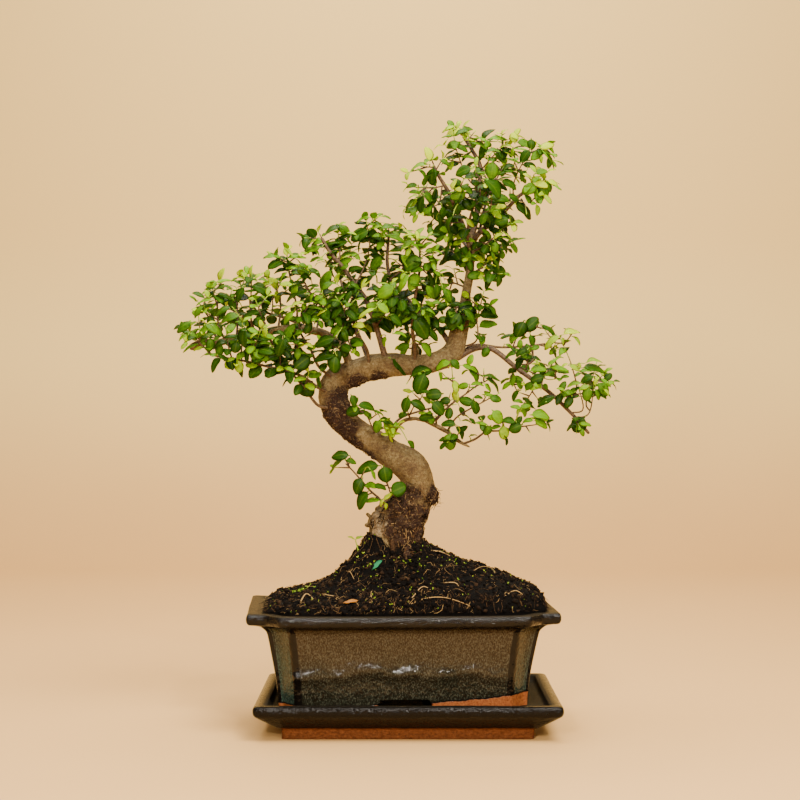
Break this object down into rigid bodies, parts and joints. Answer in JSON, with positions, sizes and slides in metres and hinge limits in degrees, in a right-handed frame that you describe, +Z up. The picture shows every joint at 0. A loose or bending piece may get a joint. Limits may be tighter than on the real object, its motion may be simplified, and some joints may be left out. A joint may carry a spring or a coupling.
{
  "type": "potted bonsai tree",
  "caption": "Small-leaved privet bonsai with an S-bent trunk and airy leafy twigs in a notched rectangular glazed pot on a matching saucer.",
  "frame": {"origin": "centre of the saucer's flat underside, where it stands on the table", "axes": "+Z up along the longest extent, +Y to the back along the shortest extent, +X to the right as seen in the picture; the front faces -Y"},
  "size_m": [0.3739, 0.2, 0.5096],
  "materials": {
    "saucer_glaze": "glossy black-brown glaze, bare orange clay on the foot",
    "pot_glaze": "glossy mottled brown-grey glaze turning dark green, near-black lip, bare orange clay on the feet",
    "plastic": "matt black",
    "soil": "dark crumbly peat with fibres and moss specks",
    "bark": "smooth tan-grey bark with rough dark brown patches",
    "leaf_green": "satin mid-green leaves on grey-brown twigs",
    "leaf_fresh": "satin bright yellow-green young leaves",
    "leaf_dry": "matt orange-brown"
  },
  "bodies": {
    "root": {"saucer": "saucer_glaze", "pot": "pot_glaze", "drain_mesh_left": "plastic", "drain_mesh_right": "plastic", "soil": "soil", "trunk": "bark", "leaves_left_1": "leaf_green", "leaves_left_2": "leaf_green", "leaves_left_3": "leaf_green", "leaves_left_4": "leaf_fresh", "leaves_left_5": "leaf_green", "leaves_left_6": "leaf_green", "leaves_left_7": "leaf_fresh", "leaves_left_8": "leaf_green", "leaves_left_9": "leaf_fresh", "leaves_left_front": "leaf_green", "leaves_left_rise": "leaf_fresh", "leaves_left_back": "leaf_green", "leaves_top_left": "leaf_fresh", "leaves_middle": "leaf_green", "leaves_middle_right": "leaf_green", "leaves_middle_top": "leaf_fresh", "leaves_middle_left": "leaf_green", "leaves_middle_front": "leaf_fresh", "leaves_middle_back": "leaf_green", "leaves_upper_1": "leaf_green", "leaves_upper_2": "leaf_green", "leaves_upper_3": "leaf_green", "leaves_upper_4": "leaf_fresh", "leaves_upper_5": "leaf_green", "leaves_upper_6": "leaf_fresh", "leaves_upper_7": "leaf_green", "leaves_upper_8": "leaf_fresh", "leaves_crown_left": "leaf_fresh", "leaves_crown_middle": "leaf_green", "leaves_crown_right": "leaf_green", "leaves_crown_back": "leaf_green", "leaves_crown_front": "leaf_fresh", "leaves_crown_rear": "leaf_green", "leaves_right": "leaf_fresh", "leaves_right_back": "leaf_green", "leaves_low_twig": "leaf_fresh", "leaves_low_rise": "leaf_green", "leaves_low_1": "leaf_fresh", "leaves_low_2": "leaf_green", "leaves_low_3": "leaf_green", "leaves_low_4": "leaf_fresh", "leaves_low_5": "leaf_green", "leaves_low_back": "leaf_green", "leaves_knee_1": "leaf_green", "leaves_knee_2": "leaf_green", "leaves_low_left": "leaf_fresh", "leaves_low_burl": "leaf_green", "fallen_leaf": "leaf_green", "dry_leaf": "leaf_dry", "seedling": "leaf_fresh"}
  },
  "joints": []
}
